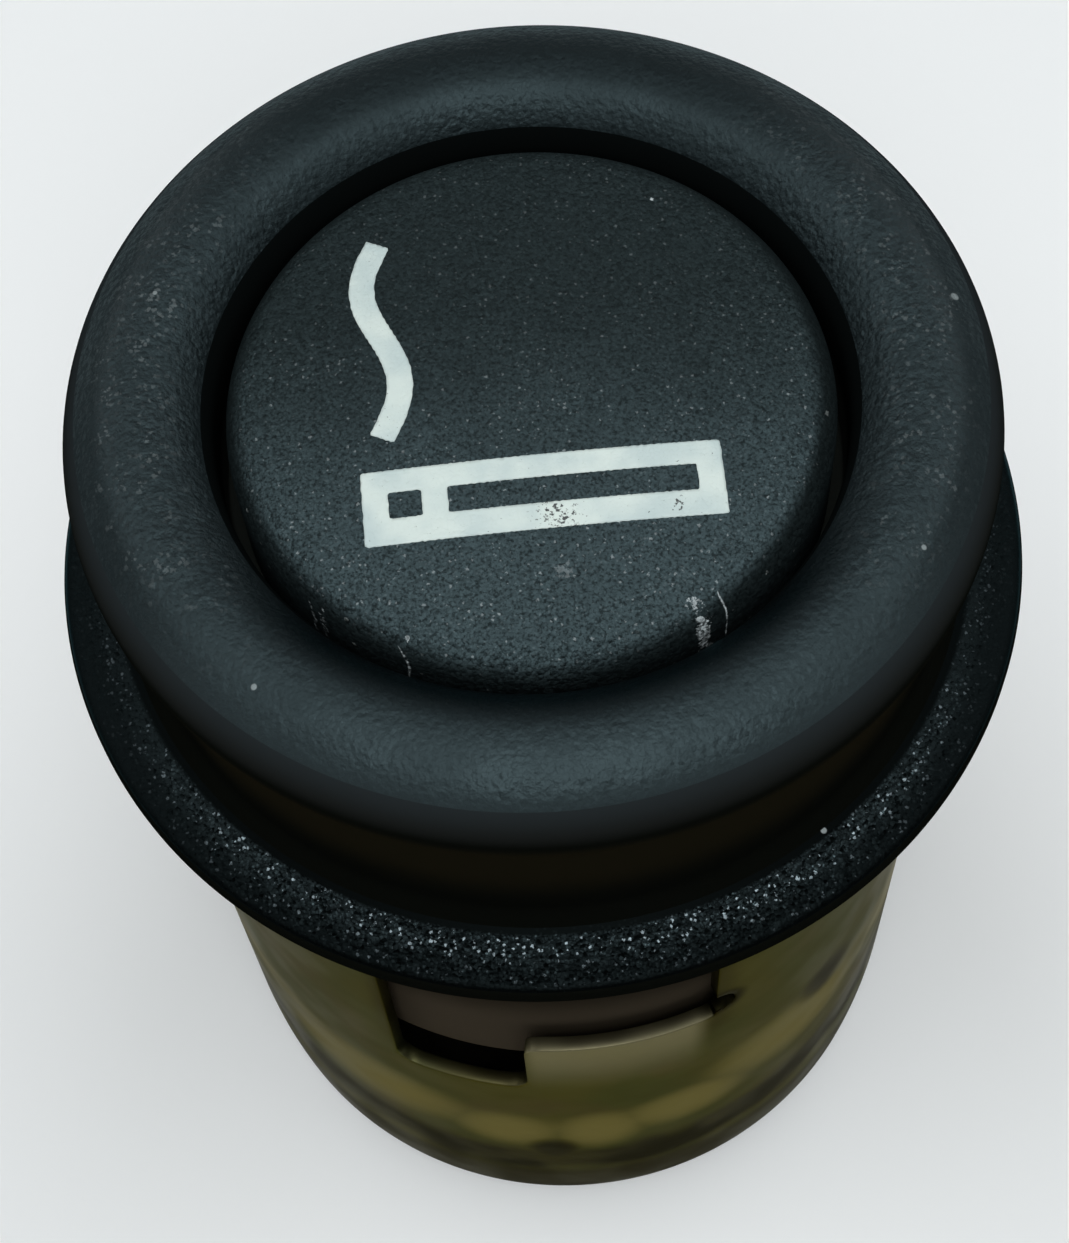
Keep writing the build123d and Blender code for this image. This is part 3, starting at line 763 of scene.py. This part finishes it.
sleeveHigh = nodeBox("sleeve")[1]
sleeveShape = {
    "wall": 0.4, "leadIn": 2.8, "leadDrop": 0.12, "notchCount": 3, "notchStart": -119.0, "notchAngle": 49.0,
    "notchFloor": 11.65, "notchRound": 0.6, "tabAngle": 28.5, "tabHeight": 3.5, "tabRound": 0.5,
    "reliefRise": 0.9, "relief": 0.55, "edge": 0.11, "columns": 480,
}
tabTop = sleeveShape["notchFloor"] + sleeveShape["tabHeight"]
perDegree = math.radians(sleeveHigh[0])  # millimetres round the sleeve for each degree
sleeveFinish = {
    # the second colour below is a painted reflection: the bright band and lumps that the sheet mirrors
    "olive": rgb(0.063, 0.0575, 0.0245), "reflectionGold": rgb(0.178, 0.147, 0.055),
    "green": rgb(0.052, 0.0540, 0.0240), "pink": rgb(0.068, 0.0540, 0.0300),
    # on the next line: the first colour is dirt and painted shade, the second is painted shade at the foot,
    # the third a painted highlight on the tabs
    "soilAndShade": rgb(0.0070, 0.0062, 0.0024), "foot": rgb(0.0165, 0.0145, 0.0056), "tabHighlight": rgb(0.185, 0.165, 0.098),
    # the first colour below is painted shade along the notches' sides
    "cutEdgeShade": rgb(0.026, 0.0225, 0.0135), "tabEdge": rgb(0.128, 0.115, 0.068),
    "roughness": 0.38, "specularTint": rgb(0.44, 0.43, 0.36),
    "bandAngle": -96.0, "bandHeight": 7.2, "bandRise": 4.5,
    # lumps of painted reflection and dark blots: angle, height, width, depth, and how ragged the edge is
    "reflectionLumps": [
        (-126.0, 7.9, 4.0, 2.4), (-103.0, 7.0, 2.0, 2.0), (-88.0, 7.0, 1.7, 2.2), (-74.0, 7.7, 2.4, 1.9),
        (-54.0, 9.5, 3.6, 2.6), (-20.0, 9.6, 3.4, 2.2, 3.0), (12.0, 9.4, 3.0, 2.0, 3.0),
        (47.0, 8.8, 3.6, 2.2, 3.0), (86.0, 7.4, 3.0, 2.0, 3.0), (131.0, 9.0, 3.6, 2.3, 3.0),
    ],
    "darkBlots": [
        (-95.6, 5.0, 1.0, 1.5), (-79.7, 3.9, 1.4, 1.8), (-48.0, 11.6, 1.3, 1.7), (-136.0, 4.2, 1.6, 1.4),
    ],
}


def makePassivatedSteel(finish):
    material, shader, vector = newMaterial("passivatedSteel")
    place = useGroup(roundPlace, {"Vector": vector})
    angle, height = place["Angle"], place["Height"]
    patch = noise(vector, 1.9, 1.0)

    def squareSum(a, b):
        return plus(times(a, a), times(b, b))

    def blot(middle, level, width, depth, ragged=0.0):
        # 1 in the middle of an oval, falling to 0 at its edge
        aside = times(minus(angle, middle), perDegree / width)
        upward = calc("DIVIDE", minus(height, level), depth)
        shaken = times(minus(patch, 0.5), ragged)
        return ramp(plus(squareSum(aside, upward), shaken), 1.0, 0.0)

    # the coating drifts between olive, green and pink
    drift, flush = noise(vector, 3.5, 1.0), noise(vector, 2.6, 1.0)
    coat = mixColour(ramp(drift, 0.38, 0.62), finish["olive"], finish["green"])
    coat = mixColour(ramp(flush, 0.52, 0.75, 0.0, 0.7), coat, finish["pink"])
    # a wavy band of painted reflection in gold; its middle rises as the square of the sine of the angle
    swing = calc("SINE", calc("RADIANS", minus(angle, finish["bandAngle"])))
    middle = times(swing, swing, finish["bandRise"])
    above = minus(minus(height, finish["bandHeight"]), middle)
    above = plus(above, times(minus(patch, 0.5), 1.4))
    rubAndReflection = times(band(above, -0.7, 0.7, 1.0), 0.6)
    for lump in finish["reflectionLumps"]:
        rubAndReflection = larger(rubAndReflection, blot(*lump))
    coat = mixColour(rubAndReflection, coat, finish["reflectionGold"])
    # painted shade: a dark band below the gold band, fading in and out with the noise, with the dark blots
    # added
    darkBandAndBlots = band(plus(above, times(middle, 0.6)), -4.6, -2.5, 0.6)
    darkBandAndBlots = times(darkBandAndBlots, ramp(patch, 0.25, 0.5, 0.7, 1.0))
    for darkBlot in finish["darkBlots"]:
        darkBandAndBlots = larger(darkBandAndBlots, blot(*darkBlot))
    coat = mixColour(darkBandAndBlots, coat, finish["soilAndShade"])
    # painted shade: darker towards the foot
    coat = mixColour(ramp(height, 2.9, 2.1), coat, finish["foot"])
    # painted shade darkens the sheet along the notches' sides, a painted highlight runs down from the tabs'
    # upper edge, and painted shade darkens the sheet round the relief bites
    period, notchEnd = 360 / sleeveShape["notchCount"], sleeveShape["notchAngle"]
    floor = sleeveShape["notchFloor"]
    part = calc("FLOORED_MODULO", minus(angle, sleeveShape["notchStart"]), period)
    notchSideShade = larger(ramp(part, notchEnd + 5.0, notchEnd), ramp(part, period - 3.0, period))
    notchSideShade = times(notchSideShade, ramp(height, floor, floor + 4.0), 0.75)
    coat = mixColour(notchSideShade, coat, finish["cutEdgeShade"])
    onTab = band(part, notchEnd - sleeveShape["tabAngle"], notchEnd - 2.0, 2.0)
    tabHighlight = times(onTab, ramp(height, tabTop - 4.2, tabTop - 0.3))
    coat = mixColour(tabHighlight, coat, finish["tabHighlight"])
    onCut = times(onTab, ramp(height, tabTop - 0.10, tabTop - 0.02))
    coat = mixColour(onCut, coat, finish["tabEdge"])
    aside = times(minus(part, notchEnd), perDegree)
    square = squareSum(aside, minus(height, tabTop + sleeveShape["reliefRise"]))
    # painted shade round the relief bites
    coat = mixColour(ramp(square, 1.1, 0.3), coat, finish["soilAndShade"])
    # dirt specks
    coat = mixColour(times(specks(vector, 3.2, 0.5, 0.2), 0.3), coat, finish["soilAndShade"])
    rough = ramp(patch, 0.3, 0.7, finish["roughness"] - 0.04, finish["roughness"] + 0.06)
    tint = finish["specularTint"]
    feed(shader, {"Base Color": coat, "Roughness": rough, "Metallic": 1.0, "Specular Tint": tint})
    setBump(shader, noise(vector, 0.5, 3.0), 0.004)
    return material


def makeSleeve(shape, material):
    radius, top = sleeveHigh[0], sleeveHigh[2]
    period = 360 / shape["notchCount"] * perDegree
    notchEnd = shape["notchAngle"] * perDegree
    slotEnd = notchEnd - shape["tabAngle"] * perDegree
    margin = (period - notchEnd) / 2

    def field(s, z):
        # above zero outside the deep slot, the opening over the tab and the relief bite
        s = np.mod(s + margin, period) - margin
        slot = boxDistance(s, z, 0, slotEnd, shape["notchFloor"], 2 * top, shape["notchRound"])
        opening = boxDistance(s, z, 0.3 * slotEnd, notchEnd, tabTop, 2 * top, 0.1)
        # the tab's free corner is rounded by a soft minimum of the two distances
        h = np.clip(0.5 + 0.5 * (opening - slot) / shape["tabRound"], 0, 1)
        cut = opening * (1 - h) + slot * h - shape["tabRound"] * h * (1 - h)
        hole = np.hypot(s - notchEnd, z - tabTop - shape["reliefRise"]) - shape["relief"]
        return np.minimum(cut, hole)

    def place(s, z):
        # the lead-in narrows as a square
        lead = np.clip((shape["leadIn"] - z) / shape["leadIn"], 0, 1) ** 2 * shape["leadDrop"]
        r = radius - lead
        a = np.radians(shape["notchStart"] + s / perDegree)
        return np.stack([r * np.cos(a), r * np.sin(a), z], -1)

    u = np.arange(shape["columns"]) * 360 / shape["columns"] * perDegree
    levels = [(0, shape["leadIn"], 10), (shape["leadIn"], shape["notchFloor"] - 0.5, 12),
              (shape["notchFloor"] - 0.5, tabTop + 2.2, 40), (tabTop + 2.2, top, 8)]
    v = np.concatenate([np.linspace(a, b, n, endpoint=False) for a, b, n in levels] + [[top]])
    sleeve = cutSheet("sleeve_shell", u, v, field, place, material, wrap=360 * perDegree)
    addWall(sleeve, shape["wall"], shape["edge"])
    return sleeve


sleeveShell = makeSleeve(sleeveShape, makePassivatedSteel(sleeveFinish))
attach(sleeveShell, "barrel")
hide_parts("sleeve")
print("sleeve made")


# Plain finishes

plainFinishes = {
    "springSteel": {
        "cloud": (0.35, 4.0, 0.65), "blend": (0.3, 0.7), "roughness": (0.28, 0.42),
        "bump": 0.006, "metallic": 1.0,
        "colours": (rgb(0.30, 0.29, 0.28), rgb(0.16, 0.15, 0.145)),
    },
    "platedSteel": {
        "cloud": (0.8, 4.0, 0.6), "blend": (0.35, 0.7), "roughness": (0.30, 0.45),
        "bump": 0.006, "metallic": 1.0,
        "colours": (rgb(0.46, 0.45, 0.42), rgb(0.33, 0.32, 0.29)),
        "specks": (1.4, 0.22, 0.25), "speckShare": 0.5, "speckColour": rgb(0.14, 0.11, 0.08),
    },
    # painted shade: the guide plate is painted near black, the dark that shows through the slots
    "shadowBlackSteel": {
        "cloud": (0.9, 4.0, 0.6), "blend": (0.35, 0.7), "roughness": (0.6, 0.75),
        "bump": 0.006, "specular": 0.03,
        "colours": (rgb(0.0060, 0.0054, 0.0034), rgb(0.0025, 0.0023, 0.0016)),
    },
    "coilRibbon": {
        "cloud": (0.25, 4.0, 0.7), "blend": (0.35, 0.65), "roughness": (0.5, 0.75),
        "bump": 0.012, "metallic": 0.6,
        "colours": (rgb(0.085, 0.075, 0.066), rgb(0.035, 0.032, 0.031)),
        "specks": (0.5, 0.1, 0.3), "speckShare": 0.6, "speckColour": rgb(0.34, 0.32, 0.29),
    },
    "steatite": {
        "cloud": (1.5, 3.0, 0.6), "blend": (0.3, 0.7), "roughness": (0.55, 0.72),
        "bump": 0.008, "pores": (0.12, 3.0),
        "colours": (rgb(0.62, 0.58, 0.50), rgb(0.50, 0.44, 0.35)),
        "specks": (0.7, 0.12, 0.3), "speckShare": 0.7, "speckColour": rgb(0.10, 0.08, 0.065),
    },
    "mica": {
        "cloud": (1.1, 5.0, 0.7), "blend": (0.35, 0.65), "roughness": (0.2, 0.4), "bump": 0.01,
        "colours": (rgb(0.42, 0.37, 0.28), rgb(0.25, 0.21, 0.15)),
    },
}


def makePlainFinish(name):
    # two colours blended by a cloud, specks of a third, and a roughness and bump that follow the cloud
    finish = plainFinishes[name]
    material, shader, vector = newMaterial(name)
    cloud = noise(vector, *finish["cloud"])
    colour = mixColour(ramp(cloud, *finish["blend"]), *finish["colours"])
    if "specks" in finish:
        mask = times(specks(vector, *finish["specks"]), finish["speckShare"])
        colour = mixColour(mask, colour, finish["speckColour"])
    rough = ramp(cloud, 0.3, 0.7, *finish["roughness"])
    feed(shader, {"Base Color": colour, "Roughness": rough, "Metallic": finish.get("metallic", 0.0)})
    if "specular" in finish:
        feed(shader, {"Specular IOR Level": finish["specular"]})
    relief = noise(vector, *finish["pores"]) if "pores" in finish else cloud
    setBump(shader, relief, finish["bump"])
    return material


# Return spring: round wire between the guide plate and the seat

springLow, springHigh = nodeBox("return_spring")
springShape = {"wire": 0.45, "turns": 5.2, "steps": 420, "around": 14, "travel": 4.5}


def makeSpring(shape, material):
    # a circle carried round a helix whose ends lie flat on the plate and the seat
    wire = shape["wire"]
    radius = springHigh[0] - wire
    t = np.linspace(0, 1, shape["steps"])
    a = 2 * np.pi * shape["turns"] * t
    length = springHigh[2] - springLow[2]
    rise = np.clip(springLow[2] + length * (t * 1.08 - 0.04), springLow[2] + wire, springHigh[2] - wire)
    b = np.linspace(0, 2 * np.pi, shape["around"], endpoint=False)
    r = radius + wire * np.cos(b)[None, :]
    z = rise[:, None] + wire * np.sin(b)[None, :]
    grid = np.stack([r * np.cos(a)[:, None], r * np.sin(a)[:, None], z], -1)
    spine = np.stack([radius * np.cos(a), radius * np.sin(a), rise], -1)
    return gridPiece("return_coil", grid, material, poles=spine[[0, -1]])


returnCoil = makeSpring(springShape, makePlainFinish("springSteel"))
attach(returnCoil, "barrel")
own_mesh(returnCoil)
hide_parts("return_spring")
print("spring made")


# Finishes of the pieces that keep their own meshes


def makeHeaterSteel():
    material, shader, vector = newMaterial("heaterSteel")
    height = useGroup(roundPlace, {"Vector": vector})["Height"]
    # temper colours run from straw at the floor to blue and grey scale at the lip
    wander = noise(vector, 1.2, 3.0, 0.6)
    heat = plus(ramp(height, 8.2, 4.8), times(wander, 0.5))
    colour = mixColour(ramp(heat, 0.2, 0.7), rgb(0.36, 0.29, 0.19), rgb(0.17, 0.13, 0.15))
    colour = mixColour(ramp(heat, 0.7, 1.2), colour, rgb(0.11, 0.13, 0.17))
    scale = noise(vector, 0.3, 4.0, 0.65)
    colour = mixColour(ramp(scale, 0.55, 0.75), colour, rgb(0.06, 0.055, 0.05))
    rough = ramp(scale, 0.3, 0.75, 0.32, 0.62)
    feed(shader, {"Base Color": colour, "Roughness": rough, "Metallic": 1.0})
    setBump(shader, scale, 0.01)
    return material


platedSteel = makePlainFinish("platedSteel")
heaterSteel = makeHeaterSteel()
steatite = makePlainFinish("steatite")
nodeFinishes = {
    "guide_plate": makePlainFinish("shadowBlackSteel"), "stud": platedSteel, "knob_nut": platedSteel,
    "lock_washer": platedSteel, "spring_seat": platedSteel, "ash_guard": heaterSteel,
    "heating_cup": heaterSteel, "rivet_washer": platedSteel, "mica_washer": makePlainFinish("mica"),
    "ceramic_bush": steatite, "ceramic_disc": steatite, "heating_coil": makePlainFinish("coilRibbon"),
}
for node, finish in nodeFinishes.items():
    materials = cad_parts[node].data.materials
    materials.clear()
    materials.append(finish)
print("finishes set:", len(nodeFinishes))


# Floor, light and camera

studio = {
    "floorSize": 2.4, "floorRise": 0.3, "floorFlat": 0.8, "floorDrop": 0.02, "floorGrid": 61,
    "floorColour": rgb(0.93, 0.93, 0.925), "floorPale": rgb(0.94, 0.94, 0.935),
    "worldColour": rgb(0.93, 0.97, 1.0), "worldStrength": 0.12, "lampColour": (0.95, 0.985, 1.0),
    "lamps": {
        "softKey": {"strength": 0.5, "elevation": 56.0, "turn": 3.0, "spread": 34.0},
        "softTop": {"strength": 0.15, "elevation": 83.0, "turn": 3.0, "spread": 50.0},
        "softLeft": {"strength": 1.05, "elevation": 52.0, "turn": -106.0, "spread": 60.0},
        "softRight": {"strength": 1.05, "elevation": 52.0, "turn": 106.0, "spread": 60.0},
    },
    "frontPower": 0.0138, "frontSize": 34.0, "frontBack": 6.0,
    "cameraPlace": (-0.314, -29.026, 77.859), "cameraTilt": 26.432, "cameraRoll": 4.741, "focal": 71.564,
}


def makeFloor(setup):
    # a square sheet that turns up as a square outside the flat share of its reach
    half, count, flat = setup["floorSize"] / mm / 2, setup["floorGrid"], setup["floorFlat"]
    line = np.linspace(-half, half, count)
    x, y = np.meshgrid(line, line, indexing="ij")
    outward = np.maximum(np.maximum(np.abs(x), np.abs(y)) / half - flat, 0) / (1 - flat)
    z = setup["floorRise"] / mm * outward**2 - setup["floorDrop"]
    i = np.arange(count - 1)[:, None] * count + np.arange(count - 1)[None, :]
    faces = np.stack([i, i + count, i + count + 1, i + 1], -1).reshape(-1, 4).tolist()
    material, shader, vector = newMaterial("floorPaint")
    colour = mixColour(noise(vector, 40.0), setup["floorColour"], setup["floorPale"])
    feed(shader, {"Base Color": colour, "Roughness": 0.9, "Specular IOR Level": 0.2})
    return addPiece("floor", np.stack([x, y, z], -1).reshape(-1, 3), faces, material)


def cameraPose(setup):
    tilt = Matrix.Rotation(math.radians(setup["cameraTilt"]), 4, "X")
    roll = Matrix.Rotation(math.radians(-setup["cameraRoll"]), 4, "Z")
    return Matrix.Translation([c * mm for c in setup["cameraPlace"]]) @ tilt @ roll


def addToScene(name, data, place):
    thing = bpy.data.objects.new(name, data)
    thing.matrix_world = place
    bpy.context.scene.collection.objects.link(thing)
    return thing


def lightStudio(setup):
    world = bpy.data.worlds.new("studioAir")
    world.use_nodes = True
    sky = next(n for n in world.node_tree.nodes if n.type == "BACKGROUND")
    feed(sky, {"Color": setup["worldColour"], "Strength": setup["worldStrength"]})
    bpy.context.scene.world = world
    for name, values in setup["lamps"].items():
        lamp = bpy.data.lights.new(name, "SUN")
        lamp.energy, lamp.color = values["strength"], setup["lampColour"]
        lamp.angle = math.radians(values["spread"])
        lean = Matrix.Rotation(math.radians(90 - values["elevation"]), 4, "X")
        addToScene(name, lamp, Matrix.Rotation(math.radians(values["turn"]), 4, "Z") @ lean)
    # a round lamp close behind the camera, which puts the shine where the surface faces the viewer
    lamp = bpy.data.lights.new("softFront", "AREA")
    lamp.shape, lamp.size = "DISK", setup["frontSize"] * mm
    lamp.energy, lamp.color = setup["frontPower"], setup["lampColour"]
    addToScene("softFront", lamp, cameraPose(setup) @ Matrix.Translation((0, 0, setup["frontBack"] * mm)))


def placeCamera(setup):
    lens = bpy.data.cameras.new("camera")
    lens.lens, lens.sensor_width, lens.sensor_fit, lens.clip_start = setup["focal"], 36.0, "AUTO", 0.001
    bpy.context.scene.camera = addToScene("camera", lens, cameraPose(setup))


makeFloor(studio)
lightStudio(studio)
placeCamera(studio)
bpy.context.scene.view_settings.view_transform = "Standard"
print("studio ready")
